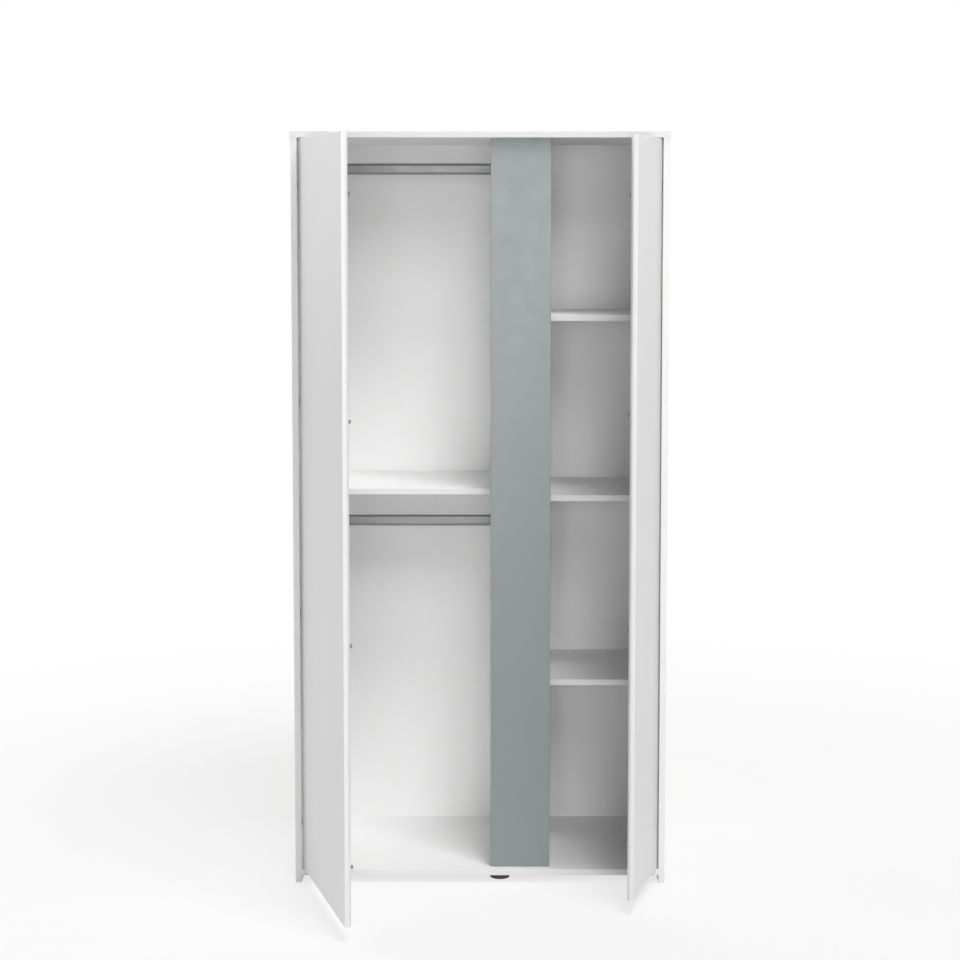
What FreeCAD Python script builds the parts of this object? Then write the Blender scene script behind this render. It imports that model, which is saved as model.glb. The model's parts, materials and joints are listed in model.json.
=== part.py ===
import FreeCAD, Part
import os
import re

# Two-door wardrobe: a hanging side, a shelved side and a fixed panel between the doors.
# The origin is on the floor below the middle of the carcass, +Z up, the front faces -Y.

# Driving dimensions: name, value in millimetres (or degrees, or a count), meaning
SIZES = [
    ("carcass_width", 985, "across the outer faces of the side panels"),
    ("carcass_height", 1995, "floor to the top face"),
    ("carcass_depth", 517, "front edges to back edges of the boards"),
    ("board", 16, "thickness of every carcass board"),
    ("edge_radius", 1, "eased front edges of the boards"),
    ("top_overhang", 3, "top panel past each side panel"),
    ("plinth_height", 22, "floor to the underside of the bottom panel"),
    ("fit_gap", 0.1, "radial play of a fastener in its hole"),
    ("hole_slack", 0.5, "extra depth of a blind hole"),
    ("back_sheet", 3, "thickness of the back sheets"),
    ("back_margin", 2, "back sheets inside the carcass outline"),
    ("sheet_gap", 1, "between the two back sheets"),
    ("front_panel_left", 28, "left edge of the fixed front panel from the middle"),
    ("front_panel_width", 158, "width of the fixed front panel"),
    ("partition_inset", 17.5, "front panel edge to the partition's left face"),
    ("shelf_setback", 105, "front plane to the front edge of a shelf"),
    ("shelf_gap", 0.5, "play of a shelf at its sides and back"),
    ("hanging_shelf_top", 1049, "top of the shelf in the hanging side"),
    ("upper_shelf_top", 1514, "top of the highest shelf"),
    ("middle_shelf_top", 1031, "top of the middle shelf"),
    ("lower_shelf_top", 530, "top of the lowest shelf"),
    ("support_inset", 50, "shelf support from the shelf's front and back edges"),
    ("support_peg", 5, "diameter of a shelf support's peg"),
    ("support_depth", 10, "peg inside the board"),
    ("support_reach", 9, "ledge under the shelf"),
    ("support_width", 10, "width of the ledge"),
    ("support_height", 7, "height of the ledge"),
    ("rail_height", 30, "height of the oval clothes rail"),
    ("rail_width", 15, "width of the oval clothes rail"),
    ("rail_wall", 1.2, "wall of the rail tube"),
    ("rail_setback", 250, "front plane to the rail's axis"),
    ("upper_rail_drop", 75, "top panel's underside to the upper rail's axis"),
    ("lower_rail_drop", 89, "hanging shelf's underside to the lower rail's axis"),
    ("rail_gap", 0.3, "play of a rail in its sockets"),
    ("socket_plate", 3, "thickness of a rail socket's plate"),
    ("socket_depth", 14, "length of a rail socket's collar"),
    ("socket_wall", 2.5, "wall of a rail socket's collar"),
    ("socket_lug", 12, "plate past the collar, above and below"),
    ("screw_size", 3.5, "diameter of the wood screws"),
    ("screw_head", 7, "diameter of a screw head"),
    ("screw_head_height", 2, "height of a screw head"),
    ("screw_bite", 12, "screw length inside a board"),
    ("door_thickness", 18, "thickness of the doors"),
    ("door_gap", 3, "gap round the doors"),
    ("door_overlap", 20, "door past the edge of the fixed front panel"),
    ("door_edge_radius", 2, "rounded front edges of the doors"),
    ("grip_bevel", 7, "bevel behind the free edge, for the fingers"),
    ("door_open_angle", 74, "angle at which the doors stand open"),
    ("hinge_count", 4, "hinges on each door"),
    ("hinge_end", 120, "door end to the nearest hinge"),
    ("pivot_inset", 9, "door's hinge edge to the hinge pin"),
    ("pivot_depth", 8, "door's front face to the hinge pin"),
    ("pin_size", 4, "diameter of a hinge pin"),
    ("pin_play", 0.05, "radial play of the arm on the pin"),
    ("pin_ear", 3, "pin inside each ear of the cup"),
    ("eye_size", 7, "outside of the arm's eye"),
    ("arm_height", 14, "height of a hinge arm"),
    ("arm_thickness", 4, "thickness of a hinge arm"),
    ("arm_reach", 14, "pin to the arm's crank"),
    ("arm_length", 74, "pin to the arm's rear end"),
    ("arm_screw_inset", 12, "arm screw from the rear end"),
    ("knuckle_gap", 0.5, "room round the arm in the cup"),
    ("knuckle_wall", 3.5, "cup wall round the knuckle"),
    ("cup_size", 35, "diameter of a hinge cup"),
    ("cup_centre", 22.5, "door's hinge edge to the cup's centre"),
    ("cup_wall", 2.5, "wall of a hinge cup"),
    ("cup_floor", 1, "floor of a hinge cup"),
    ("flange_rim", 3, "flange past the cup"),
    ("flange_thickness", 1.2, "thickness of the cup's flange"),
    ("flange_width", 12, "width of the screw flange"),
    ("flange_height", 62, "height of the screw flange"),
    ("flange_offset", 9.5, "cup's centre to the flange screws"),
    ("flange_screw_inset", 5, "flange screw from the flange's end"),
    ("plate_thickness", 3, "thickness of a mounting plate"),
    ("plate_start", 26, "pin to the front end of the mounting plate"),
    ("plate_tail", 6, "mounting plate past the arm"),
    ("plate_line", 45, "pin to the mounting screws"),
    ("plate_height", 48, "height of the mounting plate's wings"),
    ("wing_width", 14, "width of the mounting plate's wings"),
    ("bumper_count", 4, "bumpers on each door"),
    ("bumper_end", 147, "door end to the nearest bumper"),
    ("bumper_inset", 13.5, "door's free edge to the bumper's centre"),
    ("bumper_size", 10, "diameter of a bumper"),
    ("bumper_height", 6, "height of a bumper"),
    ("bumper_radius", 1.5, "rounded rim of a bumper"),
    ("seat_gap", 0.3, "closed bumper to the front panel"),
    ("foot_size", 53, "diameter of the feet under the partition"),
    ("foot_taper", 1.5, "foot narrower at its top, on the radius"),
    ("foot_rim", 1.5, "rounded lower rim of a foot"),
    ("foot_setback", 62, "front and back planes to the foot's axis"),
    ("foot_recess", 8, "depth of the foot's screw recess"),
    ("foot_recess_size", 9, "diameter of the foot's screw recess"),
    ("glide_size", 13, "diameter of the glides under the side panels"),
    ("glide_height", 3, "thickness of a glide"),
    ("glide_nail", 2, "diameter of a glide's nail"),
    ("glide_nail_length", 15, "length of a glide's nail"),
    ("glide_inset", 35, "glide from the front and back edges"),
    ("cam_size", 15, "diameter of a cam"),
    ("cam_depth", 12.5, "depth of a cam"),
    ("cam_distance", 34, "board's end to the cam's axis"),
    ("cam_grip", 3, "bolt past the cam's axis"),
    ("bolt_size", 7, "diameter of a cam bolt"),
    ("thread_size", 5, "diameter of a bolt's thread"),
    ("thread_depth", 11, "thread inside the other board"),
    ("connector_front", 110, "front plane to the front bolts"),
    ("connector_back", 80, "back plane to the rear bolts"),
    ("dowel_step", 32, "bolt to the dowel beside it"),
    ("dowel_size", 8, "diameter of a dowel"),
    ("dowel_face", 10, "dowel inside a board's face"),
    ("dowel_edge", 20, "dowel inside a board's end"),
    ("panel_dowel_inset", 30, "front panel's edge to its dowels"),
    ("panel_bolt_count", 3, "bolts that hold the front panel to the partition"),
    ("panel_bolt_end", 250, "panel's ends to the nearest bolt"),
    ("nail_size", 1.6, "diameter of a back nail"),
    ("nail_length", 14, "length of a back nail"),
    ("nail_head", 4, "diameter of a nail head"),
    ("nail_head_height", 0.8, "height of a nail head"),
    ("nail_end", 60, "corner to the nearest nail"),
    ("nail_rows", 8, "nails up each upright board"),
    ("nail_columns", 4, "nails along each sheet's top and bottom edges"),
    ("nail_split", 4, "partition's middle line to a nail"),
]
ALIASES = {name for name, value, meaning in SIZES}

doc = FreeCAD.newDocument("Wardrobe")
sheet = doc.addObject("Spreadsheet::Sheet", "Sizes")
for row, (name, value, meaning) in enumerate(SIZES, start=1):
    sheet.set(f"A{row}", name)
    sheet.set(f"B{row}", str(value))
    sheet.setAlias(f"B{row}", name)
    sheet.set(f"C{row}", meaning)
doc.recompute()

# Places that follow from the driving dimensions, as expressions
FRONT = "(-carcass_depth / 2)"
BACK = "(carcass_depth / 2)"
SIDE_IN = "(carcass_width / 2 - board)"
SIDE_MID = "(carcass_width / 2 - board / 2)"
CEILING = "(carcass_height - board)"
GROUND = "(plinth_height + board)"
BOTTOM_MID = "(plinth_height + board / 2)"
PANEL_SETBACK = "(door_thickness + bumper_height + seat_gap)"
PANEL_FACE = f"({FRONT} + {PANEL_SETBACK})"
PANEL_REAR = f"({PANEL_FACE} + board)"
PANEL_RIGHT = "(front_panel_left + front_panel_width)"
WALL_LEFT = "(front_panel_left + partition_inset)"
WALL_MID = f"({WALL_LEFT} + board / 2)"
WALL_RIGHT = f"({WALL_LEFT} + board)"
DOOR_LOW = f"({GROUND} + door_gap)"
DOOR_HEIGHT = f"({CEILING} - {GROUND} - 2 * door_gap)"
PIVOT_X = f"({SIDE_IN} - door_gap - pivot_inset)"
PIVOT_Y = f"({FRONT} + pivot_depth)"
DOOR_INNER = "(door_thickness - pivot_depth)"
PLATE_X = "(-door_gap - pivot_inset)"
ARM_X = f"({PLATE_X} + plate_thickness)"
KNUCKLE_ROOM = "(eye_size / 2 + knuckle_gap)"
KNUCKLE_HALF = "(arm_height / 2 + knuckle_gap)"
CUP_X = "(cup_centre - pivot_inset)"
CUP_LOW = f"(-{KNUCKLE_ROOM} - cup_floor)"
SHELF_FRONT = f"({FRONT} + shelf_setback)"
RAIL_Y = f"({FRONT} + rail_setback)"
UPPER_RAIL = f"({CEILING} - upper_rail_drop)"
LOWER_RAIL = "(hanging_shelf_top - board - lower_rail_drop)"

# Directions in which a rod can point, as rotations of its own +Z
TURNS = {
    "z": FreeCAD.Rotation(),
    "-z": FreeCAD.Rotation(FreeCAD.Vector(1, 0, 0), 180),
    "x": FreeCAD.Rotation(FreeCAD.Vector(0, 1, 0), 90),
    "-x": FreeCAD.Rotation(FreeCAD.Vector(0, 1, 0), -90),
    "y": FreeCAD.Rotation(FreeCAD.Vector(1, 0, 0), -90),
    "-y": FreeCAD.Rotation(FreeCAD.Vector(1, 0, 0), 90),
}
MIRRORED = {"x": "-x", "-x": "x"}

nodes = []
boards = {}
holes = {}


def scoped(text):
    """Point each dimension's name at the sheet."""
    def to_cell(match):
        word = match.group()
        return f"Sizes.{word}" if word in ALIASES else word
    return re.sub(r"[a-z_]+", to_cell, str(text))


def place(obj, at):
    for axis, text in zip("xyz", at):
        obj.setExpression(f"Placement.Base.{axis}", scoped(text))


def box(name, size, at):
    obj = doc.addObject("Part::Box", name)
    for side, text in zip(("Length", "Width", "Height"), size):
        obj.setExpression(side, scoped(text))
    place(obj, at)
    return obj


def rod(name, diameter, length, at, way="z"):
    obj = doc.addObject("Part::Cylinder", name)
    obj.setExpression("Radius", scoped(f"({diameter}) / 2"))
    obj.setExpression("Height", scoped(length))
    obj.Placement = FreeCAD.Placement(FreeCAD.Vector(), TURNS[way])
    place(obj, at)
    return obj


def fuse(name, shapes):
    obj = doc.addObject("Part::MultiFuse", name)
    obj.Shapes = shapes
    obj.Refine = True
    return obj


def cut(name, base, tools):
    obj = doc.addObject("Part::Cut", name)
    obj.Base = base
    obj.Tool = tools[0] if len(tools) == 1 else fuse(f"{name}_tools", tools)
    return obj


def group(name, shapes):
    obj = doc.addObject("Part::Compound", name)
    obj.Links = shapes
    return obj


def node(label, obj):
    obj.Label = label
    nodes.append(obj)
    return obj


def edges_on(base, picks):
    """Numbers of the edges whose middles lie on the named sides of a shape's box."""
    doc.recompute()
    room = base.Shape.BoundBox
    found = []
    for number, edge in enumerate(base.Shape.Edges, start=1):
        middle = edge.CenterOfMass
        sides = {
            "left": middle.x - room.XMin,
            "right": room.XMax - middle.x,
            "front": middle.y - room.YMin,
            "rear": room.YMax - middle.y,
            "low": middle.z - room.ZMin,
            "high": room.ZMax - middle.z,
        }
        if any(all(abs(sides[side]) < 1e-6 for side in pick) for pick in picks):
            found.append(number)
    return found


def ease(name, base, radius, picks):
    obj = doc.addObject("Part::Fillet", name)
    obj.Base = base
    obj.Edges = [(number, radius, radius) for number in edges_on(base, picks)]
    return obj


def bevel(name, base, size, picks):
    obj = doc.addObject("Part::Chamfer", name)
    obj.Base = base
    obj.Edges = [(number, size, size) for number in edges_on(base, picks)]
    return obj


def board(label, size, at, picks):
    """A carcass board with eased front edges, kept until all its holes are known."""
    blank = box(f"{label}_blank", size, at)
    boards[label] = ease(f"{label}_eased", blank, sheet.edge_radius, picks)
    holes[label] = []


def drill(label, diameter, depth, at, way):
    name = f"{label}_hole_{len(holes[label])}"
    holes[label].append(rod(name, f"{diameter} + 2 * fit_gap", f"{depth} + hole_slack", at, way))


def spread(count, first, last):
    """Expressions for evenly spaced places from first to last."""
    total = int(count) - 1
    return [f"({first} + ({last} - {first}) * {step} / {total})" for step in range(total + 1)]


def moved(at, way, distance):
    """A point shifted along one of the six directions."""
    sign = "-" if way.startswith("-") else "+"
    return tuple(f"({text} {sign} ({distance}))" if axis == way[-1] else text
                 for axis, text in zip("xyz", at))


OPPOSITE = {"x": "-x", "-x": "x", "y": "-y", "-y": "y", "z": "-z", "-z": "z"}

UPRIGHT = [("front", "left"), ("front", "right")]
LEVEL = [("front", "low"), ("front", "high")]

# Carcass boards
side_height = f"{CEILING} - glide_height"
board("left_side_panel", ("board", "carcass_depth", side_height),
      ("-carcass_width / 2", FRONT, "glide_height"), UPRIGHT)
board("right_side_panel", ("board", "carcass_depth", side_height),
      (SIDE_IN, FRONT, "glide_height"), UPRIGHT)
board("top_panel", ("carcass_width + 2 * top_overhang", "carcass_depth", "board"),
      ("-carcass_width / 2 - top_overhang", FRONT, CEILING), LEVEL)
board("bottom_panel", ("carcass_width - 2 * board", "carcass_depth", "board"),
      (f"-{SIDE_IN}", FRONT, "plinth_height"), LEVEL)
board("partition", ("board", f"{BACK} - {PANEL_REAR}", f"{CEILING} - {GROUND}"),
      (WALL_LEFT, PANEL_REAR, GROUND), UPRIGHT)
board("front_panel", ("front_panel_width", "board", f"{CEILING} - {GROUND}"),
      ("front_panel_left", PANEL_FACE, GROUND), UPRIGHT)

# Shelves
SHELVES = [
    ("hanging_shelf", "hanging_shelf_top", "left_side_panel", f"-{SIDE_IN}", "partition", WALL_LEFT),
    ("upper_shelf", "upper_shelf_top", "partition", WALL_RIGHT, "right_side_panel", SIDE_IN),
    ("middle_shelf", "middle_shelf_top", "partition", WALL_RIGHT, "right_side_panel", SIDE_IN),
    ("lower_shelf", "lower_shelf_top", "partition", WALL_RIGHT, "right_side_panel", SIDE_IN),
]


def shelf_support(name, wall, at, way):
    """A peg in the wall with a flat ledge under the shelf."""
    peg_at = moved(at, OPPOSITE[way], "support_depth")
    peg = rod(f"{name}_peg", "support_peg", "support_depth + support_reach / 2", peg_at, way)
    ledge_x = at[0] if way == "x" else f"{at[0]} - support_reach"
    ledge = box(f"{name}_ledge", ("support_reach", "support_width", "support_height"),
                (ledge_x, f"{at[1]} - support_width / 2", f"{at[2]} - support_height / 2"))
    drill(wall, "support_peg", "support_depth", at, OPPOSITE[way])
    return fuse(name, [peg, ledge])


for label, top, left_wall, left_x, right_wall, right_x in SHELVES:
    width = f"{right_x} - ({left_x}) - 2 * shelf_gap"
    depth = f"{BACK} - {SHELF_FRONT} - shelf_gap"
    board(label, (width, depth, "board"), (f"{left_x} + shelf_gap", SHELF_FRONT, f"{top} - board"), LEVEL)
    supports = []
    for end, y in (("front", f"({SHELF_FRONT} + support_inset)"), ("rear", f"({BACK} - support_inset)")):
        z = f"({top} - board - support_height / 2)"
        supports.append(shelf_support(f"{label}_{end}_left", left_wall, (left_x, y, z), "x"))
        supports.append(shelf_support(f"{label}_{end}_right", right_wall, (right_x, y, z), "-x"))
    node(f"{label}_supports", group(f"{label}_supports", supports))


# Screws with a flat round head, from the head's seat into the board
def screw(name, at, way, bite):
    head = rod(f"{name}_head", "screw_head", "screw_head_height", at, OPPOSITE[way])
    shank = rod(f"{name}_shank", "screw_size", bite, at, way)
    return fuse(name, [head, shank])


def screw_hole(name, at, way, depth):
    return rod(name, "screw_size + 2 * fit_gap", depth, at, way)


# Clothes rails
def oval(name, height, width, length, at):
    """A rod along +X with flat sides and round top and bottom, at the middle of its left end."""
    x, y, z = at
    flat = box(f"{name}_flat", (length, width, f"{height} - ({width})"),
               (x, f"{y} - ({width}) / 2", f"{z} - ({height} - ({width})) / 2"))
    rounds = [rod(f"{name}_{end}", width, length, (x, y, f"{z} {sign} ({height} - ({width})) / 2"), "x")
              for end, sign in (("top", "+"), ("bottom", "-"))]
    return fuse(name, [flat] + rounds)


def rail_socket(name, wall, at, way):
    """A screwed plate with a collar that the rail's end sits in."""
    x, y, z = at
    right = way == "-x"
    collar_height = "rail_height + 2 * rail_gap + 2 * socket_wall"
    collar_width = "rail_width + 2 * rail_gap + 2 * socket_wall"
    plate_x = f"{x} - socket_plate" if right else x
    collar_x = f"{x} - socket_plate - socket_depth" if right else f"{x} + socket_plate"
    plate = oval(f"{name}_plate", f"{collar_height} + 2 * socket_lug", collar_width, "socket_plate",
                 (plate_x, y, z))
    collar = oval(f"{name}_collar", collar_height, collar_width, "socket_depth", (collar_x, y, z))
    bore = oval(f"{name}_bore", "rail_height + 2 * rail_gap", "rail_width + 2 * rail_gap", "socket_depth",
                (collar_x, y, z))
    tools = [bore]
    screws = []
    for end, sign in (("high", "+"), ("low", "-")):
        lug = f"({z} {sign} ({collar_height} + socket_lug) / 2)"
        seat = moved((x, y, lug), way, "socket_plate")
        tools.append(screw_hole(f"{name}_{end}_hole", seat, OPPOSITE[way], "socket_plate"))
        screws.append(screw(f"{name}_{end}_screw", seat, OPPOSITE[way], "socket_plate + screw_bite"))
        drill(wall, "screw_size", "screw_bite", (x, y, lug), OPPOSITE[way])
    return cut(name, fuse(f"{name}_blank", [plate, collar]), tools), screws


rail_screws = []
for label, level in (("upper_rail", UPPER_RAIL), ("lower_rail", LOWER_RAIL)):
    length = f"{WALL_LEFT} + {SIDE_IN} - 2 * socket_plate - 2 * rail_gap"
    start = (f"-{SIDE_IN} + socket_plate + rail_gap", RAIL_Y, level)
    tube = oval(f"{label}_outside", "rail_height", "rail_width", length, start)
    hollow = oval(f"{label}_inside", "rail_height - 2 * rail_wall", "rail_width - 2 * rail_wall",
                  length, start)
    node(label, cut(label, tube, [hollow]))
    left, left_screws = rail_socket(f"{label}_left_socket", "left_side_panel",
                                    (f"(-{SIDE_IN})", RAIL_Y, level), "x")
    right, right_screws = rail_socket(f"{label}_right_socket", "partition",
                                      (WALL_LEFT, RAIL_Y, level), "-x")
    node(f"{label}_sockets", group(f"{label}_sockets", [left, right]))
    rail_screws += left_screws + right_screws
node("rail_screws", group("rail_screws", rail_screws))

# Cam bolts, cams and dowels that hold the boards together
cams = []
bolts = []
dowels = []


def cam_joint(name, face_board, end_board, at, way, cam_way, cam_seat):
    """A bolt from a board's face (at, pointing way) into another board's end, locked by a cam."""
    thread = rod(f"{name}_thread", "thread_size", "thread_depth", at, OPPOSITE[way])
    shaft = rod(f"{name}_shaft", "bolt_size", "cam_distance + cam_grip", at, way)
    bolts.append(fuse(f"{name}_bolt", [thread, shaft]))
    drill(face_board, "thread_size", "thread_depth", at, OPPOSITE[way])
    drill(end_board, "bolt_size", "cam_distance + cam_grip", at, way)
    axis = moved(at, way, "cam_distance")
    mouth = tuple(cam_seat if letter == cam_way[-1] else text for letter, text in zip("xyz", axis))
    blank = rod(f"{name}_cam_blank", "cam_size", "cam_depth", mouth, cam_way)
    slot = rod(f"{name}_cam_slot", "bolt_size + 2 * fit_gap", "cam_distance + cam_grip + hole_slack",
               at, way)
    cams.append(cut(f"{name}_cam", blank, [slot]))
    drill(end_board, "cam_size", "cam_depth", mouth, cam_way)


def dowel_joint(name, face_board, end_board, at, way):
    start = moved(at, OPPOSITE[way], "dowel_face")
    dowels.append(rod(name, "dowel_size", "dowel_face + dowel_edge", start, way))
    drill(face_board, "dowel_size", "dowel_face", at, OPPOSITE[way])
    drill(end_board, "dowel_size", "dowel_edge", at, way)


CONNECTORS = [
    ("front", f"({FRONT} + connector_front)", f"({FRONT} + connector_front + dowel_step)"),
    ("rear", f"({BACK} - connector_back)", f"({BACK} - connector_back - dowel_step)"),
]
for end, bolt_y, dowel_y in CONNECTORS:
    uprights = [
        ("left_side_panel", f"(-{SIDE_MID})", "-x", f"(-{SIDE_IN})"),
        ("right_side_panel", SIDE_MID, "x", SIDE_IN),
        ("partition", WALL_MID, "-x", WALL_RIGHT),
    ]
    for label, x, cam_way, seat in uprights:
        cam_joint(f"{label}_{end}_top", "top_panel", label, (x, bolt_y, CEILING), "-z", cam_way, seat)
        dowel_joint(f"{label}_{end}_top_dowel", "top_panel", label, (x, dowel_y, CEILING), "-z")
    cam_joint(f"partition_{end}_foot", "bottom_panel", "partition", (WALL_MID, bolt_y, GROUND), "z",
              "-x", WALL_RIGHT)
    dowel_joint(f"partition_{end}_foot_dowel", "bottom_panel", "partition",
                (WALL_MID, dowel_y, GROUND), "z")
    for label, x, way in (("left_side_panel", f"(-{SIDE_IN})", "x"), ("right_side_panel", SIDE_IN, "-x")):
        cam_joint(f"{label}_{end}_floor", label, "bottom_panel", (x, bolt_y, BOTTOM_MID), way,
                  "z", "plinth_height")
        dowel_joint(f"{label}_{end}_floor_dowel", label, "bottom_panel", (x, dowel_y, BOTTOM_MID), way)

bolt_levels = spread(sheet.panel_bolt_count, f"({GROUND} + panel_bolt_end)",
                     f"({CEILING} - panel_bolt_end)")
for step, z in enumerate(bolt_levels):
    cam_joint(f"front_panel_{step}", "front_panel", "partition", (WALL_MID, PANEL_REAR, z), "y",
              "-x", WALL_RIGHT)
PANEL_DOWELS = [
    ("left", "(front_panel_left + panel_dowel_inset)"),
    ("right", f"({PANEL_RIGHT} - panel_dowel_inset)"),
]
for end, x in PANEL_DOWELS:
    y = f"({PANEL_FACE} + board / 2)"
    dowel_joint(f"front_panel_{end}_top_dowel", "top_panel", "front_panel", (x, y, CEILING), "-z")
    dowel_joint(f"front_panel_{end}_foot_dowel", "bottom_panel", "front_panel", (x, y, GROUND), "z")
node("cams", group("cams", cams))
node("cam_bolts", group("cam_bolts", bolts))
node("dowels", group("dowels", dowels))

# Back sheets and their nails
nails = []
SHEET_LOW = "(plinth_height + back_margin)"
SHEET_TOP = "(carcass_height - back_margin)"
SHEETS = [
    ("back_sheet_left", "(-carcass_width / 2 + back_margin)", f"({WALL_MID} - sheet_gap / 2)"),
    ("back_sheet_right", f"({WALL_MID} + sheet_gap / 2)", "(carcass_width / 2 - back_margin)"),
]


def nail(sheet_holes, board_label, x, z):
    name = f"nail_{len(nails)}"
    seat = (x, f"({BACK} + back_sheet)", z)
    head = rod(f"{name}_head", "nail_head", "nail_head_height", seat, "y")
    shank = rod(f"{name}_shank", "nail_size", "nail_length", seat, "-y")
    nails.append(fuse(name, [head, shank]))
    sheet_holes.append(rod(f"{name}_hole", "nail_size + 2 * fit_gap", "back_sheet", seat, "-y"))
    drill(board_label, "nail_size", "nail_length - back_sheet", (x, BACK, z), "-y")


for label, low_x, high_x in SHEETS:
    is_left = label == "back_sheet_left"
    blank = box(f"{label}_blank", (f"{high_x} - {low_x}", "back_sheet", f"{SHEET_TOP} - {SHEET_LOW}"),
                (low_x, BACK, SHEET_LOW))
    sheet_holes = []
    outer = ("left_side_panel", f"(-{SIDE_MID})") if is_left else ("right_side_panel", SIDE_MID)
    inner = ("partition", f"({WALL_MID} {'-' if is_left else '+'} nail_split)")
    rows = spread(sheet.nail_rows, f"({GROUND} + nail_end)", f"({CEILING} - nail_end)")
    for board_label, x in (outer, inner):
        for z in rows:
            nail(sheet_holes, board_label, x, z)
    columns = spread(sheet.nail_columns, f"({low_x} + nail_end)", f"({high_x} - nail_end)")
    for board_label, z in (("top_panel", f"({CEILING} + board / 2)"), ("bottom_panel", BOTTOM_MID)):
        for x in columns:
            nail(sheet_holes, board_label, x, z)
    node(label, cut(label, blank, sheet_holes))
node("back_nails", group("back_nails", nails))

# Feet under the partition and glides under the side panels
foot_screws = []
for label, y in (("front_foot", f"({FRONT} + foot_setback)"), ("rear_foot", f"({BACK} - foot_setback)")):
    cone = doc.addObject("Part::Cone", f"{label}_blank")
    cone.setExpression("Radius1", scoped("foot_size / 2"))
    cone.setExpression("Radius2", scoped("foot_size / 2 - foot_taper"))
    cone.setExpression("Height", scoped("plinth_height"))
    place(cone, (WALL_MID, y, 0))
    rounded = ease(f"{label}_rounded", cone, sheet.foot_rim, [("low",)])
    recess = rod(f"{label}_recess", "foot_recess_size", "foot_recess", (WALL_MID, y, 0))
    seat = (WALL_MID, y, "foot_recess")
    bore = screw_hole(f"{label}_bore", seat, "z", "plinth_height - foot_recess")
    node(label, cut(label, rounded, [recess, bore]))
    foot_screws.append(screw(f"{label}_screw", seat, "z", "plinth_height - foot_recess + screw_bite"))
    drill("bottom_panel", "screw_size", "screw_bite", (WALL_MID, y, "plinth_height"), "z")
node("foot_screws", group("foot_screws", foot_screws))

glides = []
for label, x in (("left_side_panel", f"(-{SIDE_MID})"), ("right_side_panel", SIDE_MID)):
    for end, y in (("front", f"({FRONT} + glide_inset)"), ("rear", f"({BACK} - glide_inset)")):
        disc = rod(f"{label}_{end}_disc", "glide_size", "glide_height", (x, y, 0))
        spike = rod(f"{label}_{end}_spike", "glide_nail", "glide_height + glide_nail_length", (x, y, 0))
        glides.append(fuse(f"{label}_{end}_glide", [disc, spike]))
        drill(label, "glide_nail", "glide_nail_length", (x, y, "glide_height"), "z")
node("floor_glides", group("floor_glides", glides))


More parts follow.
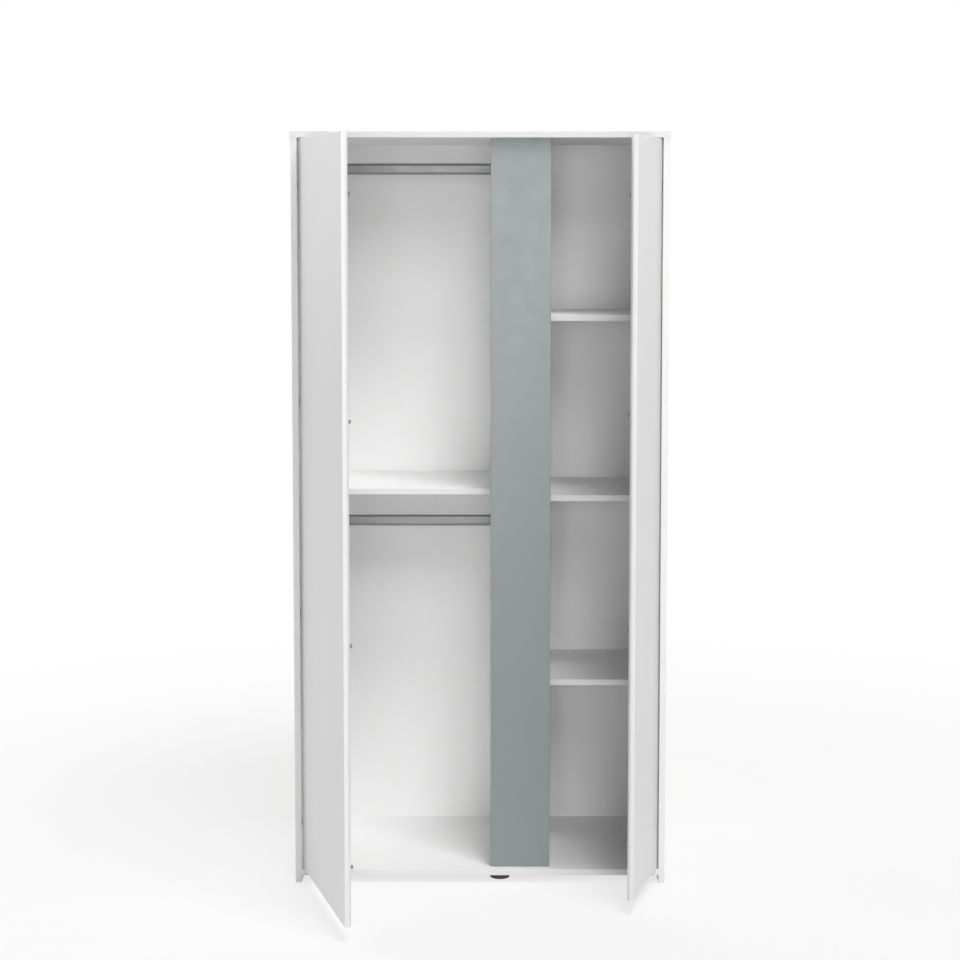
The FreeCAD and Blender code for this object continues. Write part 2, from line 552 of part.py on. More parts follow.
# Doors and hinges, in a frame with the hinge pin at its origin, +X to the free edge, +Y inwards
def door(side, width):
    """One closed door with its hinges. The right-hand set is the mirror image of the left."""
    left = side == "left"

    def hand(way):
        return way if left else MIRRORED.get(way, way)

    def across(x):
        return x if left else f"-({x})"

    def block(name, size, at):
        x = at[0] if left else f"-({at[0]}) - ({size[0]})"
        return box(f"{side}_{name}", size, (x, at[1], at[2]))

    def pin(name, diameter, length, at, way="z"):
        return rod(f"{side}_{name}", diameter, length, (across(at[0]), at[1], at[2]), hand(way))

    def driven(name, at, way, bite):
        return screw(f"{side}_{name}", (across(at[0]), at[1], at[2]), hand(way), bite)

    blank = block("door_blank", (width, "door_thickness", DOOR_HEIGHT),
                  ("-pivot_inset", "-pivot_depth", DOOR_LOW))
    free_edge = "right" if left else "left"
    bevelled = bevel(f"{side}_door_bevelled", blank, sheet.grip_bevel, [("rear", free_edge)])
    rim = [("front", "left"), ("front", "right"), ("front", "low"), ("front", "high")]
    rounded = ease(f"{side}_door_rounded", bevelled, sheet.door_edge_radius, rim)

    on_door = ("cups", "pins", "cup_screws")
    on_carcass = ("arms", "plates", "arm_screws", "plate_screws")
    pieces = {name: [] for name in on_door + on_carcass}
    recesses = []
    levels = spread(sheet.hinge_count, f"({DOOR_LOW} + hinge_end)",
                    f"({DOOR_LOW} + {DOOR_HEIGHT} - hinge_end)")
    for step, z in enumerate(levels):
        cup, cup_recess = hinge_cup(f"hinge_{step}", z, block, pin)
        pieces["cups"].append(cup)
        recesses += cup_recess
        half = f"({KNUCKLE_HALF} + pin_ear)"
        pieces["pins"].append(pin(f"hinge_{step}_pin", "pin_size", f"2 * {half}", (0, 0, f"{z} - {half}")))
        for end, sign in (("high", "+"), ("low", "-")):
            seat = (f"({CUP_X} + flange_offset)", f"({DOOR_INNER} + flange_thickness)",
                    f"({z} {sign} (flange_height / 2 - flange_screw_inset))")
            pieces["cup_screws"].append(
                driven(f"hinge_{step}_cup_{end}_screw", seat, "-y", "flange_thickness + screw_bite"))
            recesses.append(pin(f"hinge_{step}_cup_{end}_pilot", "screw_size + 2 * fit_gap",
                                "flange_thickness + screw_bite + hole_slack", seat, "-y"))
        pieces["arms"].append(hinge_arm(f"hinge_{step}", z, block, pin))
        arm_seat = (f"({ARM_X} + arm_thickness)", "(arm_length - arm_screw_inset)", z)
        pieces["arm_screws"].append(
            driven(f"hinge_{step}_arm_screw", arm_seat, "-x", "arm_thickness + plate_thickness"))
        pieces["plates"].append(hinge_plate(f"hinge_{step}", z, block, pin))
        for end, sign in (("high", "+"), ("low", "-")):
            screw_z = f"({z} {sign} (plate_height / 2 - wing_width / 2))"
            pieces["plate_screws"].append(
                driven(f"hinge_{step}_plate_{end}_screw", (ARM_X, "plate_line", screw_z), "-x",
                       "plate_thickness + screw_bite"))
            wall_x = f"(-{SIDE_IN})" if left else SIDE_IN
            drill(f"{side}_side_panel", "screw_size", "screw_bite",
                  (wall_x, f"({PIVOT_Y} + plate_line)", screw_z), "-x" if left else "x")

    bumpers = []
    bumper_x = f"({width} - pivot_inset - bumper_inset)"
    bumper_levels = spread(sheet.bumper_count, f"({DOOR_LOW} + bumper_end)",
                           f"({DOOR_LOW} + {DOOR_HEIGHT} - bumper_end)")
    for step, z in enumerate(bumper_levels):
        stub = pin(f"bumper_{step}_blank", "bumper_size", "bumper_height", (bumper_x, DOOR_INNER, z), "y")
        bumpers.append(ease(f"{side}_bumper_{step}", stub, sheet.bumper_radius, [("rear",)]))

    def hinge_nodes(names):
        return [node(f"{side}_hinge_{name}", group(f"{side}_hinge_{name}", pieces[name])) for name in names]

    turning = hinge_nodes(on_door)
    turning.append(node(f"{side}_door", cut(f"{side}_door", rounded, recesses)))
    turning.append(node(f"{side}_door_bumpers", group(f"{side}_door_bumpers", bumpers)))
    fixed = hinge_nodes(on_carcass)
    swing = "-door_open_angle" if left else "door_open_angle"
    for obj in turning + fixed:
        place(obj, (across(f"(-{PIVOT_X})"), PIVOT_Y, 0))
    for obj in turning:
        obj.setExpression("Placement.Rotation.Angle", scoped(swing))


def hinge_cup(name, z, block, pin):
    """A cup let into the door, with a knuckle for the pin, and the recess that it needs."""
    depth = f"({DOOR_INNER} - {CUP_LOW})"
    knuckle_half = f"({KNUCKLE_HALF} + knuckle_wall)"
    knuckle_size = (f"{KNUCKLE_ROOM} + knuckle_gap + {CUP_X}", depth, f"2 * {knuckle_half}")
    knuckle_at = (f"(-{KNUCKLE_ROOM} - knuckle_gap)", CUP_LOW, f"({z} - {knuckle_half})")
    barrel = pin(f"{name}_barrel", "cup_size", depth, (CUP_X, CUP_LOW, z), "y")
    knuckle = block(f"{name}_knuckle", knuckle_size, knuckle_at)
    rim = pin(f"{name}_rim", "cup_size + 2 * flange_rim", "flange_thickness", (CUP_X, DOOR_INNER, z), "y")
    flange_x = f"({CUP_X} + flange_offset - flange_width / 2)"
    flange = block(f"{name}_flange", ("flange_width", "flange_thickness", "flange_height"),
                   (flange_x, DOOR_INNER, f"({z} - flange_height / 2)"))
    top = f"({DOOR_INNER} + flange_thickness - {CUP_LOW} - cup_floor)"
    hollow = pin(f"{name}_hollow", "cup_size - 2 * cup_wall", top,
                 (CUP_X, f"({CUP_LOW} + cup_floor)", z), "y")
    slot_size = (f"pivot_inset + cup_size / 2 + {KNUCKLE_ROOM}", top, f"2 * {KNUCKLE_HALF}")
    slot_at = ("(-pivot_inset - cup_size / 2)", f"({CUP_LOW} + cup_floor)", f"({z} - {KNUCKLE_HALF})")
    slot = block(f"{name}_slot", slot_size, slot_at)
    bore = pin(f"{name}_bore", "pin_size + 2 * pin_play", f"2 * {knuckle_half}",
               (0, 0, f"({z} - {knuckle_half})"))
    tools = [hollow, slot, bore]
    for end, sign in (("high", "+"), ("low", "-")):
        hole_z = f"({z} {sign} (flange_height / 2 - flange_screw_inset))"
        tools.append(pin(f"{name}_flange_{end}_hole", "screw_size + 2 * fit_gap", "flange_thickness",
                         (f"({CUP_X} + flange_offset)", DOOR_INNER, hole_z), "y"))
    cup = cut(f"{name}_cup", fuse(f"{name}_cup_blank", [barrel, knuckle, rim, flange]), tools)

    wide = f"({knuckle_half} + fit_gap)"
    recess = [
        pin(f"{name}_recess", "cup_size + 2 * fit_gap", depth, (CUP_X, CUP_LOW, z), "y"),
        block(f"{name}_knuckle_recess", (f"{knuckle_size[0]} + fit_gap", depth, f"2 * {wide}"),
              (f"({knuckle_at[0]} - fit_gap)", CUP_LOW, f"({z} - {wide})")),
        block(f"{name}_notch", slot_size, slot_at),
    ]
    return cup, recess


def hinge_arm(name, z, block, pin):
    """A cranked arm from the mounting plate to the pin."""
    low = f"({z} - arm_height / 2)"
    eye = pin(f"{name}_eye", "eye_size", "arm_height", (0, 0, low))
    nose = block(f"{name}_nose", ("arm_thickness", "arm_reach + arm_thickness", "arm_height"),
                 ("(-arm_thickness / 2)", 0, low))
    crank = block(f"{name}_crank", (f"arm_thickness / 2 - {ARM_X}", "arm_thickness", "arm_height"),
                  (ARM_X, "arm_reach", low))
    bar = block(f"{name}_bar", ("arm_thickness", "arm_length - arm_reach", "arm_height"),
                (ARM_X, "arm_reach", low))
    bore = pin(f"{name}_eye_bore", "pin_size + 2 * pin_play", "arm_height", (0, 0, low))
    screw_bore = pin(f"{name}_arm_bore", "screw_size + 2 * fit_gap", "arm_thickness",
                     (ARM_X, "(arm_length - arm_screw_inset)", z), "x")
    return cut(f"{name}_arm", fuse(f"{name}_arm_blank", [eye, nose, crank, bar]), [bore, screw_bore])


def hinge_plate(name, z, block, pin):
    """A plate with two wings, screwed to the side panel."""
    strip_half = "(arm_height / 2 + plate_thickness / 2)"
    strip_size = ("plate_thickness", "arm_length + plate_tail - plate_start", f"2 * {strip_half}")
    strip = block(f"{name}_strip", strip_size, (PLATE_X, "plate_start", f"({z} - {strip_half})"))
    wings = block(f"{name}_wings", ("plate_thickness", "wing_width", "plate_height"),
                  (PLATE_X, "(plate_line - wing_width / 2)", f"({z} - plate_height / 2)"))
    tools = [pin(f"{name}_plate_bore", "screw_size + 2 * fit_gap", "plate_thickness",
                 (PLATE_X, "(arm_length - arm_screw_inset)", z), "x")]
    for end, sign in (("high", "+"), ("low", "-")):
        tools.append(pin(f"{name}_wing_{end}_hole", "screw_size + 2 * fit_gap", "plate_thickness",
                         (PLATE_X, "plate_line", f"({z} {sign} (plate_height / 2 - wing_width / 2))"), "x"))
    return cut(f"{name}_plate", fuse(f"{name}_plate_blank", [strip, wings]), tools)


door("left", f"({SIDE_IN} - door_gap + front_panel_left + door_overlap)")
door("right", f"({SIDE_IN} - door_gap - {PANEL_RIGHT} + door_overlap)")

# Boards with every hole that the other pieces asked for
for label, blank in boards.items():
    node(label, cut(label, blank, holes[label]) if holes[label] else blank)

doc.recompute()
for obj in doc.Objects:
    if "Invalid" in obj.State or "Error" in obj.State:
        raise RuntimeError(f"{obj.Label} failed: {obj.State}")
for obj in nodes:
    if obj.Shape.isNull() or not obj.Shape.isValid():
        raise RuntimeError(f"{obj.Label} has no valid shape")

os.makedirs("parts", exist_ok=True)
for obj in nodes:
    obj.Shape.exportStep(f"parts/{obj.Label}.step")
    print(f"{obj.Label}: {len(obj.Shape.Solids)} solids, {obj.Shape.Volume:.0f} mm3")
print(f"{len(nodes)} nodes")
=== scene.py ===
import json
import math

import bmesh
import bpy
import numpy as np
from mathutils import Matrix, Vector


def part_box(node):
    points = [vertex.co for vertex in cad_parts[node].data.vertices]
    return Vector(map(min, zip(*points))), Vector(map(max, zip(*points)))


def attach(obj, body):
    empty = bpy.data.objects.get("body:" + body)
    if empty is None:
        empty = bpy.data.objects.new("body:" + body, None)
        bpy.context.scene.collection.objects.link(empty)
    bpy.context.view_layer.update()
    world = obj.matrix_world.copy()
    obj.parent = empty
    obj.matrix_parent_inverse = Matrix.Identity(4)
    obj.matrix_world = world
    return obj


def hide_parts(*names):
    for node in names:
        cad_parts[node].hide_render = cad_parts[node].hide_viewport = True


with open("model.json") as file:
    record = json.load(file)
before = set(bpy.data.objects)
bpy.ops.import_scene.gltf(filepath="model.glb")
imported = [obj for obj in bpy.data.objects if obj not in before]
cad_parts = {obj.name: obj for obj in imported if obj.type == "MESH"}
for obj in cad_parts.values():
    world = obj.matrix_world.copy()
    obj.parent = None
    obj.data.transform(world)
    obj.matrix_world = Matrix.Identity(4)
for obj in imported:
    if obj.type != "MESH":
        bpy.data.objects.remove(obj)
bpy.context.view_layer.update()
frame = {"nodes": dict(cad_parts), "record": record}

# Looks of the two-door wardrobe: finishes, fittings, floor, light and camera, in metres.

MM = 0.001

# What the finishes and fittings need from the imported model
CARCASS_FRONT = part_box("left_side_panel")[0].y
SHELF_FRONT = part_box("upper_shelf")[0].y
SLOT_OF = {part["node"]: part["material_slot"] for part in frame["record"]["subparts"]}
BODY_OF = {
    node: body
    for body, nodes in frame["record"]["behaviour"]["bodies"].items()
    for node in nodes
}

# Most values of a noise texture lie between these
NOISE_LOW, NOISE_HIGH = 0.3, 0.7
# A face looks along an axis where its normal has more than this share of it
FACING_SHARE = 0.7
# Pointiness at which an outward edge starts to lighten, and at which it is fully lightened:
# scuffs on plastic, rub and a painted highlight on metal
RUB_AND_HIGHLIGHT_START, RUB_AND_HIGHLIGHT_FULL = 0.51, 0.6


class Nodes:
    """A node tree, with a short call for each kind of node."""

    def __init__(self, tree):
        self.tree = tree

    def add(self, kind, **settings):
        made = self.tree.nodes.new(kind)
        for key, value in settings.items():
            setattr(made, key, value)
        return made

    def join(self, source, socket):
        self.tree.links.new(source, socket)

    def give(self, socket, value):
        """Link an output to a socket, or set a plain value on it."""
        if isinstance(value, bpy.types.NodeSocket):
            self.join(value, socket)
        else:
            socket.default_value = value

    def math(self, operation, first, second=0.0, third=0.0):
        made = self.add("ShaderNodeMath", operation=operation)
        for socket, value in zip(made.inputs, (first, second, third)):
            self.give(socket, value)
        return made.outputs[0]

    def span(self, value, low, high, to_low=0.0, to_high=1.0):
        """Map a value from one range to another, with the ends held."""
        made = self.add("ShaderNodeMapRange")
        for socket, item in zip(made.inputs, (value, low, high, to_low, to_high)):
            self.give(socket, item)
        return made.outputs["Result"]

    def seen(self):
        """1 for rays from the camera, straight or by way of gloss or glass, and 0 for light."""
        rays = self.add("ShaderNodeLightPath")
        bent = self.math("MAXIMUM", rays.outputs["Is Glossy Ray"],
                         rays.outputs["Is Transmission Ray"])
        return self.math("MAXIMUM", rays.outputs["Is Camera Ray"], bent)


class Finish(Nodes):
    """A material and its node tree. Scales of noise are counts per metre of the part."""

    def __init__(self, name):
        self.material = bpy.data.materials.new(name)
        self.material.use_nodes = True
        super().__init__(self.material.node_tree)
        self.tree.nodes.clear()
        self.shader = self.add("ShaderNodeBsdfPrincipled")
        self.output = self.add("ShaderNodeOutputMaterial")
        self.join(self.shader.outputs["BSDF"], self.output.inputs["Surface"])
        self.coords = self.add("ShaderNodeTexCoord")

    def fixed(self, **values):
        """Set plain values on the shader, with _ for each space of a socket's name."""
        for name, value in values.items():
            self.shader.inputs[name.replace("_", " ")].default_value = value

    def blend(self, share, first, second):
        made = self.add("ShaderNodeMix", data_type="RGBA")
        self.give(made.inputs["Factor"], share)
        self.give(made.inputs["A"], (*first, 1) if isinstance(first, tuple) else first)
        self.give(made.inputs["B"], (*second, 1) if isinstance(second, tuple) else second)
        return made.outputs["Result"]

    def stretched(self, stretch):
        mapping = self.add("ShaderNodeMapping")
        self.join(self.coords.outputs["Object"], mapping.inputs["Vector"])
        mapping.inputs["Scale"].default_value = stretch
        return mapping.outputs["Vector"]

    def noise(self, scale, detail, stretch=(1, 1, 1), roughness=0.5):
        made = self.add("ShaderNodeTexNoise")
        self.join(self.stretched(stretch), made.inputs["Vector"])
        made.inputs["Scale"].default_value = scale
        made.inputs["Detail"].default_value = detail
        made.inputs["Roughness"].default_value = roughness
        return made.outputs["Fac"]

    def vary(self, noise, low=0.0, high=1.0):
        """Spread the usual values of a noise over a range."""
        return self.span(noise, NOISE_LOW, NOISE_HIGH, low, high)

    def mottled(self, noise, first, second):
        """Two colours, mixed by a noise."""
        return self.blend(self.vary(noise), first, second)

    def axis(self, output, letter):
        made = self.add("ShaderNodeSeparateXYZ")
        self.join(self.coords.outputs[output], made.inputs[0])
        return made.outputs[letter]

    def facing(self, letter, sign):
        """1 on faces that look along an axis of the part, 0 elsewhere."""
        along = self.math("MULTIPLY", self.axis("Normal", letter), sign)
        return self.math("GREATER_THAN", along, FACING_SHARE)

    def edge_rub_and_highlight(self, share):
        """The given share along outward edges, 0 on flat and hollow places."""
        made = self.add("ShaderNodeNewGeometry")
        return self.span(made.outputs["Pointiness"], RUB_AND_HIGHLIGHT_START, RUB_AND_HIGHLIGHT_FULL, 0.0, share)

    def bump(self, height, strength, distance, after=None):
        made = self.add("ShaderNodeBump")
        self.join(height, made.inputs["Height"])
        made.inputs["Strength"].default_value = strength
        made.inputs["Distance"].default_value = distance
        if after is not None:
            self.join(after, made.inputs["Normal"])
        return made.outputs["Normal"]

    def colour(self, value):
        self.give(self.shader.inputs["Base Color"], value)

    def roughness(self, value):
        self.give(self.shader.inputs["Roughness"], value)

    def normal(self, value):
        self.join(value, self.shader.inputs["Normal"])


def scaled(colour, factor, lift=0.0):
    return tuple(channel * factor + lift for channel in colour)


# White surfaces: tints of the plain places, the faintly yellowed places and the edge tape,
# whose darker tint is painted shade that tones down the lit front edges
PLAIN_TINT = (1.0, 1.0, 1.0)
FADED_TINT = (0.985, 0.985, 0.98)
TAPE_SHADE_TINT = (0.87, 0.87, 0.865)
TAPE = 0.9 * MM
TAPE_SEAM = 0.18 * MM
SEAM_COLOUR = (0.45, 0.43, 0.4)
SEAM_SHARE = 0.5
# A downward face below this height is the raw end of a board on the floor
FLOOR_END = 10 * MM

CHIP_SCALE = 420
CHIP_STRETCH = (1.0, 1.0, 2.2)
CHIP_DARK, CHIP_PALE = (0.36, 0.25, 0.15), (0.62, 0.49, 0.33)
CHIP_GAP, CHIP_GAP_SHARE = 0.35, 0.45
CHIP_GAP_COLOUR = (0.21, 0.13, 0.07)
CHIP_ROUGHNESS = 0.85


def chipboard(finish):
    """Colour and relief of the raw board: pressed chips of several browns."""
    cells = finish.add("ShaderNodeTexVoronoi")
    finish.join(finish.stretched(CHIP_STRETCH), cells.inputs["Vector"])
    cells.inputs["Scale"].default_value = CHIP_SCALE
    relief = cells.outputs["Distance"]
    tint = finish.add("ShaderNodeSeparateColor")
    finish.join(cells.outputs["Color"], tint.inputs[0])
    body = finish.blend(tint.outputs[0], CHIP_DARK, CHIP_PALE)
    gaps = finish.span(relief, 0.0, CHIP_GAP, CHIP_GAP_SHARE, 0.0)
    return finish.blend(gaps, body, CHIP_GAP_COLOUR), relief


def faced_board(name, front, white):
    """White melamine on chipboard, with a taped front edge darkened by painted shade, and raw
    rear and floor edges.
    """
    finish = Finish(name)
    finish.fixed(Specular_IOR_Level=0.25)
    drift = finish.noise(scale=5, detail=3)
    face = finish.mottled(drift, scaled(FADED_TINT, white), scaled(PLAIN_TINT, white))

    depth = finish.math("SUBTRACT", finish.axis("Object", "Y"), front)
    tape_shade_mask = finish.math("LESS_THAN", depth, TAPE)
    # Darker tint on the tape strip: painted shade over the brightly lit front edges
    face = finish.blend(tape_shade_mask, face, scaled(TAPE_SHADE_TINT, white))
    seam = finish.math("COMPARE", depth, TAPE, TAPE_SEAM / 2)
    face = finish.blend(finish.math("MULTIPLY", seam, SEAM_SHARE), face, SEAM_COLOUR)

    near_floor = finish.math("LESS_THAN", finish.axis("Object", "Z"), FLOOR_END)
    floor_end = finish.math("MULTIPLY", finish.facing("Z", -1), near_floor)
    raw = finish.math("MAXIMUM", finish.facing("Y", 1), floor_end)
    chips, relief = chipboard(finish)
    finish.colour(finish.blend(raw, face, chips))

    sheen = finish.vary(finish.noise(scale=38, detail=3), 0.52, 0.62)
    raw_sheen = finish.math("MULTIPLY", raw, CHIP_ROUGHNESS)
    finish.roughness(finish.math("MAXIMUM", sheen, raw_sheen))

    raw_relief = finish.math("MULTIPLY", relief, raw)
    raw_normal = finish.bump(raw_relief, strength=0.5, distance=0.4 * MM)
    pearl = finish.noise(scale=1900, detail=1)
    finish.normal(finish.bump(pearl, strength=0.2, distance=0.05 * MM, after=raw_normal))
    return finish.material


def lacquered(name, colour, gloss, peel):
    """Smooth sprayed board: fine orange peel, faint cloudiness and a slightly uneven sheen."""
    finish = Finish(name)
    cloud = finish.noise(scale=3.5, detail=4)
    finish.colour(finish.mottled(cloud, scaled(colour, 0.985), colour))
    finish.roughness(finish.vary(finish.noise(scale=26, detail=3), gloss, gloss + 0.06))
    orange_peel = finish.noise(scale=220, detail=1)
    finish.normal(finish.bump(orange_peel, strength=peel, distance=0.03 * MM))
    return finish.material


def hardboard(name, white):
    """Thin fibre sheet: painted white inside, raw brown with pressed fibres outside."""
    finish = Finish(name)
    fibres = finish.noise(scale=700, detail=6, stretch=(1.0, 1.0, 0.25), roughness=0.65)
    mottle = finish.noise(scale=22, detail=5, roughness=0.6)
    brown = finish.mottled(mottle, (0.25, 0.155, 0.085), (0.34, 0.22, 0.125))
    pale_fibres = finish.span(fibres, 0.45, 0.75, 0.0, 0.55)
    brown = finish.blend(pale_fibres, brown, (0.46, 0.33, 0.2))
    paint = finish.mottled(mottle, scaled(FADED_TINT, white), scaled(PLAIN_TINT, white))
    inside = finish.facing("Y", -1)
    finish.colour(finish.blend(inside, brown, paint))
    finish.roughness(finish.span(inside, 0, 1, 0.8, 0.5))
    finish.normal(finish.bump(fibres, strength=0.12, distance=0.15 * MM))
    return finish.material


def brushed(name, colour, sheen, stretch, depth, rub_and_highlight=0.0):
    """Metal with fine drawn lines along one direction, and a share of rub and painted highlight
    on its edges.
    """
    finish = Finish(name)
    finish.fixed(Metallic=1.0)
    lines = finish.noise(scale=900, detail=3, stretch=stretch)
    patches = finish.noise(scale=30, detail=4)
    body = finish.mottled(lines, scaled(colour, 0.93), colour)
    if rub_and_highlight:
        # Lighter metal on outward edges: partly rub, partly a painted highlight
        body = finish.blend(finish.edge_rub_and_highlight(rub_and_highlight), body, (0.86, 0.85, 0.84))
    finish.colour(body)
    uneven = finish.vary(patches, -0.03, 0.03)
    finish.roughness(finish.math("ADD", finish.vary(lines, *sheen), uneven))
    finish.normal(finish.bump(lines, strength=0.1, distance=depth))
    return finish.material


def cast(name, colour):
    """Die-cast or plated metal: a fine pebbled skin with dull patches, and edges lightened by
    rub and a painted highlight.
    """
    finish = Finish(name)
    finish.fixed(Metallic=1.0)
    patches = finish.noise(scale=120, detail=5)
    body = finish.mottled(patches, scaled(colour, 0.85), colour)
    # Lighter metal on outward edges: partly rub, partly a painted highlight
    finish.colour(finish.blend(finish.edge_rub_and_highlight(0.6), body, (0.84, 0.84, 0.85)))
    finish.roughness(finish.vary(patches, 0.3, 0.45))
    pebbles = finish.noise(scale=2600, detail=2)
    finish.normal(finish.bump(pebbles, strength=0.12, distance=0.05 * MM))
    return finish.material


def moulded(name, colour, gloss, texture):
    """Injection-moulded plastic: a fine eroded skin, a little dust and scuffed edges."""
    finish = Finish(name)
    dust = finish.noise(scale=60, detail=6, roughness=0.65)
    dust_share = finish.span(dust, 0.45, 0.8, 0.0, 0.25)
    body = finish.blend(dust_share, colour, scaled(colour, 0.7, lift=0.15))
    finish.colour(finish.blend(finish.edge_rub_and_highlight(0.4), body, scaled(colour, 0.8, lift=0.1)))
    finish.roughness(finish.vary(dust, gloss, gloss + 0.12))
    skin = finish.noise(scale=1600, detail=3)
    finish.normal(finish.bump(skin, strength=texture, distance=0.08 * MM))
    return finish.material


def silicone(name):
    """Soft clear bumper, slightly cloudy."""
    finish = Finish(name)
    finish.fixed(Transmission_Weight=0.35, IOR=1.41)
    cloud = finish.noise(scale=180, detail=3)
    finish.colour(finish.blend(cloud, (0.24, 0.25, 0.255), (0.33, 0.34, 0.345)))
    finish.roughness(finish.vary(cloud, 0.3, 0.4))
    skin = finish.noise(scale=900, detail=2)
    finish.normal(finish.bump(skin, strength=0.05, distance=0.05 * MM))
    return finish.material


def turned_wood(name):
    """Dowels: straight fine grain along the wood with short dark flecks."""
    finish = Finish(name)
    grain = finish.noise(scale=600, detail=4, stretch=(1, 1, 0.06))
    flecks = finish.noise(scale=1500, detail=2, stretch=(1, 1, 0.1))
    wood = finish.mottled(grain, (0.5, 0.33, 0.19), (0.68, 0.49, 0.31))
    fleck_share = finish.span(flecks, 0.66, 0.75, 0, 0.6)
    finish.colour(finish.blend(fleck_share, wood, (0.33, 0.2, 0.1)))
    finish.roughness(finish.vary(grain, 0.6, 0.75))
    finish.normal(finish.bump(grain, strength=0.2, distance=0.1 * MM))
    return finish.material


BOARD_WHITE = 0.92
BACK_WHITE = 0.94
DRAWN_ALONG_X = (0.01, 1, 1)
DRAWN_ALONG_Z = (1, 1, 0.02)
FINISHES = {
    "white_board": faced_board("white_melamine", CARCASS_FRONT, BOARD_WHITE),
    "white_front": lacquered("white_lacquer", (0.88, 0.88, 0.88), gloss=0.3, peel=0.3),
    "grey_front": lacquered(
        "grey_blue_lacquer", (0.255, 0.285, 0.297), gloss=0.3, peel=0.3),
    "back_board": hardboard("white_hardboard", BACK_WHITE),
    "rail_tube": brushed(
        "satin_rail", (0.28, 0.28, 0.285), sheen=(0.46, 0.56),
        stretch=DRAWN_ALONG_X, depth=0.03 * MM),
    "grey_plastic": moulded(
        "grey_socket_plastic", (0.5, 0.5, 0.51), gloss=0.42, texture=0.15),
    "black_plastic": moulded(
        "black_foot_plastic", (0.045, 0.046, 0.048), gloss=0.45, texture=0.25),
    "white_plastic": moulded(
        "white_glide_plastic", (0.76, 0.76, 0.75), gloss=0.4, texture=0.12),
    "clear_bumper": silicone("clear_silicone"),
    "beech": turned_wood("beech_dowel"),
    "zinc": cast("cast_zinc", (0.6, 0.6, 0.61)),
    "nickel_steel": brushed(
        "nickel_plate", (0.68, 0.67, 0.65), sheen=(0.33, 0.4),
        stretch=DRAWN_ALONG_Z, depth=0.02 * MM, rub_and_highlight=0.6),
    "steel_screw": cast("zinc_plated_steel", (0.63, 0.64, 0.66)),
}
SHELF_FINISH = faced_board("white_shelf_melamine", SHELF_FRONT, BOARD_WHITE)


def dress(obj, material):
    obj.data.materials.clear()
    obj.data.materials.append(material)


for name, slot_name in SLOT_OF.items():
    finish = SHELF_FINISH if name.endswith("_shelf") else FINISHES[slot_name]
    dress(frame["nodes"][name], finish)

# Fittings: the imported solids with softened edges, and cross recesses in screws and cams
WELD = 0.001 * MM
FLAT_ANGLE = math.radians(1)
SHARP_ANGLE = math.radians(40)
SMOOTH_ANGLE = math.radians(32)
EDGE_SEGMENTS = 3
# How far a cam in the right side panel may lie inside that panel's inner face
CAM_MARGIN = 5 * MM
CROSS_TAPER = 0.7


def placed(name, data):
    obj = bpy.data.objects.new(name, data)
    bpy.context.scene.collection.objects.link(obj)
    return obj


def welded(node):
    """The solids of a node as one closed mesh, with flat faces merged."""
    solid = bmesh.new()
    solid.from_mesh(frame["nodes"][node].data)
    bmesh.ops.remove_doubles(solid, verts=solid.verts, dist=WELD)
    bmesh.ops.dissolve_limit(
        solid, angle_limit=FLAT_ANGLE, verts=solid.verts, edges=solid.edges)
    return solid


def soften(solid, width):
    sharp = [edge for edge in solid.edges if edge.calc_face_angle(0.0) > SHARP_ANGLE]
    bmesh.ops.bevel(
        solid, geom=sharp, offset=width, offset_type="OFFSET", segments=EDGE_SEGMENTS,
        profile=0.5, affect="EDGES")


def loose_solids(node):
    """Vertex places of each separate solid in a node, one array each."""
    solid = welded(node)
    left = set(solid.verts)
    groups = []
    while left:
        reached = [left.pop()]
        for vert in reached:
            for edge in vert.link_edges:
                other = edge.other_vert(vert)
                if other in left:
                    left.remove(other)
                    reached.append(other)
        groups.append(np.array([vert.co[:] for vert in reached]))
    solid.free()
    return groups


def screw_heads(node):
    """Middle and outward direction of each screw's head."""
    found = []
    for points in loose_solids(node):
        middle = points.mean(0)
        axis = np.linalg.svd(points - middle)[2][0]
        along = (points - middle) @ axis
        across = np.linalg.norm(points - middle - np.outer(along, axis), axis=1)
        if along[across.argmax()] < 0:
            axis, along = -axis, -along
        found.append((Vector(middle + axis * along.max()), Vector(axis)))
    return found


def cam_mouths(node):
    """Middle and outward direction of each cam's open face, flush with its board."""
    found = []
    right_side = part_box("right_side_panel")[0].x - CAM_MARGIN
    for points in loose_solids(node):
        low, high = points.min(0), points.max(0)
        middle = Vector((low + high) / 2)
        letter = int((high - low).argmin())
        faces_back = letter == 2 or middle.x > right_side
        way = Vector((0, 0, 0))
        way[letter] = -1 if faces_back else 1
        middle[letter] = low[letter] if faces_back else high[letter]
        found.append((middle, way))
    return found


def cross_cutter(places, reach, width, depth):
    """Tapered cross-shaped punches that sink into the given places."""
    outline = []
    arm = [(reach, -width), (reach, width), (width, width)]
    for _ in range(4):
        outline += arm
        arm = [(-y, x) for x, y in arm]
    tool = bmesh.new()
    for place, way in places:
        turn = way.to_track_quat("Z", "Y").to_matrix().to_4x4()
        here = Matrix.Translation(place) @ turn
        top = [tool.verts.new(here @ Vector((x, y, depth))) for x, y in outline]
        low = [tool.verts.new(here @ Vector((x * CROSS_TAPER, y * CROSS_TAPER, -depth)))
               for x, y in outline]
        tool.faces.new(top)
        tool.faces.new(low[::-1])
        for k in range(len(outline)):
            after = (k + 1) % len(outline)
            tool.faces.new((top[k], low[k], low[after], top[after]))
    bmesh.ops.recalc_face_normals(tool, faces=tool.faces)
    return tool


def to_object(name, solid):
    mesh = bpy.data.meshes.new(name)
    solid.to_mesh(mesh)
    solid.free()
    return placed(name, mesh)


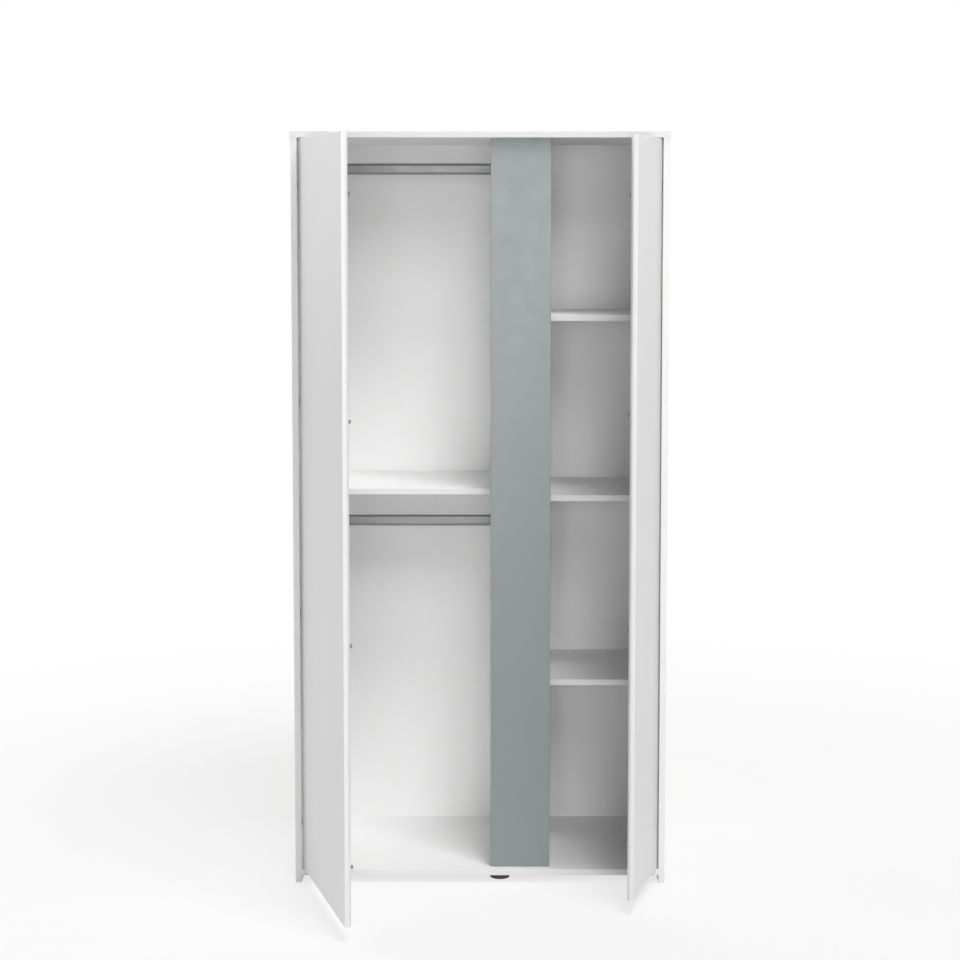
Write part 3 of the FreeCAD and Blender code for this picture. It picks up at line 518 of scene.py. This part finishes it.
def punch(obj, tool):
    """Cut the tool out of an object's mesh for good."""
    cutter = to_object("cutter", tool)
    step = obj.modifiers.new("recess", "BOOLEAN")
    step.object = cutter
    step.operation = "DIFFERENCE"
    step.solver = "EXACT"
    graph = bpy.context.evaluated_depsgraph_get()
    obj.data = bpy.data.meshes.new_from_object(obj.evaluated_get(graph))
    obj.modifiers.clear()
    bpy.data.objects.remove(cutter)


def fitting(node, width, tool=None):
    """A piece that stands for a node, with rounded edges and its recesses."""
    solid = welded(node)
    soften(solid, width)
    obj = to_object(f"{node}_detailed", solid)
    if tool is not None:
        punch(obj, tool)
    obj.data.shade_smooth()
    obj.data.set_sharp_from_angle(angle=SMOOTH_ANGLE)
    dress(obj, FINISHES[SLOT_OF[node]])
    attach(obj, BODY_OF[node])
    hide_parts(node)


# Width of the rounded edge, by the ending of a node's name
SOFT_EDGES = {
    "hinge_cups": 0.35 * MM,
    "hinge_arms": 0.6 * MM,
    "hinge_plates": 0.6 * MM,
    "rail_sockets": 0.8 * MM,
    "shelf_supports": 0.7 * MM,
    "back_nails": 0.3 * MM,
    "_foot": 1.2 * MM,
    "floor_glides": 0.6 * MM,
}
SCREW_EDGE = 0.5 * MM
SCREW_CROSS = {"reach": 2.0 * MM, "width": 0.45 * MM, "depth": 1.1 * MM}
CAM_EDGE = 0.3 * MM
CAM_CROSS = {"reach": 3.4 * MM, "width": 0.8 * MM, "depth": 2.5 * MM}
for name in SLOT_OF:
    for ending, width in SOFT_EDGES.items():
        if name.endswith(ending):
            fitting(name, width)
    if name.endswith("_screws"):
        fitting(name, SCREW_EDGE, cross_cutter(screw_heads(name), **SCREW_CROSS))
fitting("cams", CAM_EDGE, cross_cutter(cam_mouths("cams"), **CAM_CROSS))

# Floor: white for the camera, a little greyer in the part's shadow, fading to plain white
FLOOR_RADIUS = 14.0
FLOOR_SIDES = 96
SHADOW_RADIUS, WHITE_RADIUS = 1.2, 3.4
SHADOW_WHITE, FAR_WHITE = 0.72, 1.0


def floor_finish():
    finish = Finish("pale_floor")
    finish.colour((0.9, 0.9, 0.9, 1.0))
    finish.roughness(finish.vary(finish.noise(scale=4, detail=3), 0.75, 0.9))
    reach = finish.add("ShaderNodeVectorMath", operation="LENGTH")
    finish.join(finish.coords.outputs["Object"], reach.inputs[0])
    share = finish.span(
        reach.outputs["Value"], SHADOW_RADIUS, WHITE_RADIUS, SHADOW_WHITE, FAR_WHITE)
    glow = finish.add("ShaderNodeEmission")
    glow.inputs["Strength"].default_value = 1.0
    mix = finish.add("ShaderNodeMixShader")
    finish.join(finish.math("MULTIPLY", share, finish.seen()), mix.inputs[0])
    finish.join(finish.shader.outputs["BSDF"], mix.inputs[1])
    finish.join(glow.outputs[0], mix.inputs[2])
    finish.join(mix.outputs[0], finish.output.inputs["Surface"])
    return finish.material


ring = []
for k in range(FLOOR_SIDES):
    angle = math.tau * k / FLOOR_SIDES
    ring.append((FLOOR_RADIUS * math.cos(angle), FLOOR_RADIUS * math.sin(angle), 0))
floor_mesh = bpy.data.meshes.new("floor")
floor_mesh.from_pydata(ring, [], [tuple(range(FLOOR_SIDES))])
floor = placed("floor", floor_mesh)
dress(floor, floor_finish())

# World: white where it is seen, a faint even light elsewhere
AMBIENT = 0.02
world = bpy.data.worlds.new("studio")
bpy.context.scene.world = world
world.use_nodes = True
studio = Nodes(world.node_tree)
backdrop = world.node_tree.nodes["Background"]
backdrop.inputs["Color"].default_value = (1, 1, 1, 1)
strength = studio.span(studio.seen(), 0.0, 1.0, AMBIENT, 1.0)
studio.join(strength, backdrop.inputs["Strength"])

# Lamps: name, degrees to the right of the front, degrees up, distance, side, watts
LAMP_TARGET = Vector((0, -0.2, 1.0))
LAMPS = [
    ("key_lamp", 28, 60, 8.0, 3.0, 415),
    ("middle_lamp", 10, 34, 9.0, 2.5, 150),
    ("front_fill", 0, 4, 9.0, 2.5, 146),
    ("left_rim", -120, 20, 7.0, 4.0, 185),
    ("right_rim", 120, 20, 7.0, 4.0, 50),
    ("back_lamp", 185, 8, 7.0, 4.0, 130),
]
for name, azimuth, elevation, distance, side, watts in LAMPS:
    data = bpy.data.lights.new(name, "AREA")
    data.shape = "SQUARE"
    data.size = side
    data.energy = watts
    turn, lift = math.radians(azimuth), math.radians(elevation)
    way = Vector((math.sin(turn) * math.cos(lift),
                  -math.cos(turn) * math.cos(lift),
                  math.sin(lift)))
    lamp = placed(name, data)
    lamp.location = LAMP_TARGET + way * distance
    lamp.rotation_mode = "QUATERNION"
    lamp.rotation_quaternion = way.to_track_quat("Z", "Y")

# Camera: in front of the middle, turned slightly down, with a small shift for the framing
CAMERA_PLACE = (-0.0002, -5.8535, 1.7545)
CAMERA_PITCH = 4.85
CAMERA_LENS = 80.32
CAMERA_SHIFT = -0.077
camera_data = bpy.data.cameras.new("camera")
camera_data.lens = CAMERA_LENS
camera_data.shift_y = CAMERA_SHIFT
camera = placed("camera", camera_data)
camera.location = CAMERA_PLACE
camera.rotation_euler = (math.radians(90 - CAMERA_PITCH), 0, 0)
bpy.context.scene.camera = camera
bpy.context.scene.view_settings.view_transform = "Standard"
